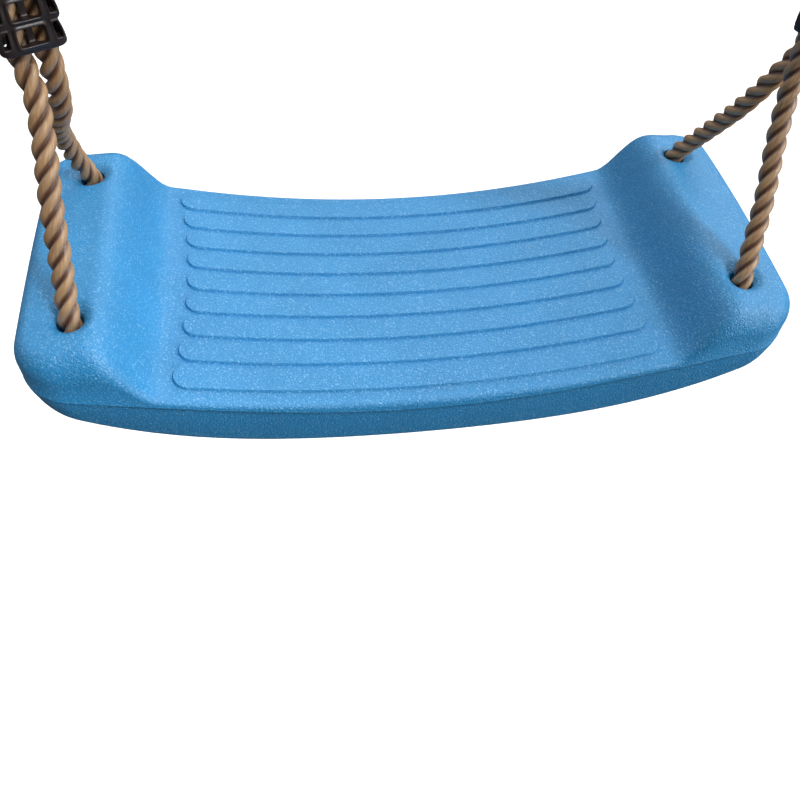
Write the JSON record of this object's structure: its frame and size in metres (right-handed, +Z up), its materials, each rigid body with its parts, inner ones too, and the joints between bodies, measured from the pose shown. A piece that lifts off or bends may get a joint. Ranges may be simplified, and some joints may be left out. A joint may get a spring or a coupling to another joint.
{
  "type": "rope swing seat",
  "caption": "Moulded plastic board swing seat with raised end pads, hung on two laid-rope bridles with sliding length adjusters and steel hanging rings.",
  "frame": {"origin": "on the hanging axis, midway between the two steel rings, where each thimble hangs on its ring's wire", "axes": "+X along the seat to its right end, +Y to its back edge, +Z up"},
  "size_m": [0.454, 0.187, 0.5065],
  "materials": {
    "blue_plastic": "satin blow-moulded polyethylene, pebbled top and smooth side band",
    "tan_rope": "three-strand laid polypropylene rope",
    "dark_plastic": "satin injection moulding",
    "black_thimble_plastic": "satin",
    "galvanised_steel": "galvanised"
  },
  "bodies": {
    "hangers": {"ring_left": "galvanised_steel", "ring_right": "galvanised_steel"},
    "swing": {"seat": "blue_plastic", "rope_left": "tan_rope", "rope_right": "tan_rope", "thimble_left": "black_thimble_plastic", "thimble_right": "black_thimble_plastic", "ferrule_left": "galvanised_steel", "ferrule_right": "galvanised_steel", "stopper_knot_left": "tan_rope", "stopper_knot_right": "tan_rope"},
    "adjuster_left": {"adjuster_left": "dark_plastic"},
    "adjuster_right": {"adjuster_right": "dark_plastic"}
  },
  "joints": [
    {"name": "swing_pivot", "type": "hinge", "parent": "hangers", "child": "swing", "pos_m": [0, 0, 0], "axis": [1, 0, 0], "range_deg": [-60, 60]},
    {"name": "adjuster_slide_left", "type": "slide", "parent": "swing", "child": "adjuster_left", "axis": [0, 0, 1], "range_m": [0, 0.046]},
    {"name": "adjuster_slide_right", "type": "slide", "parent": "swing", "child": "adjuster_right", "axis": [0, 0, 1], "range_m": [0, 0.042]}
  ]
}
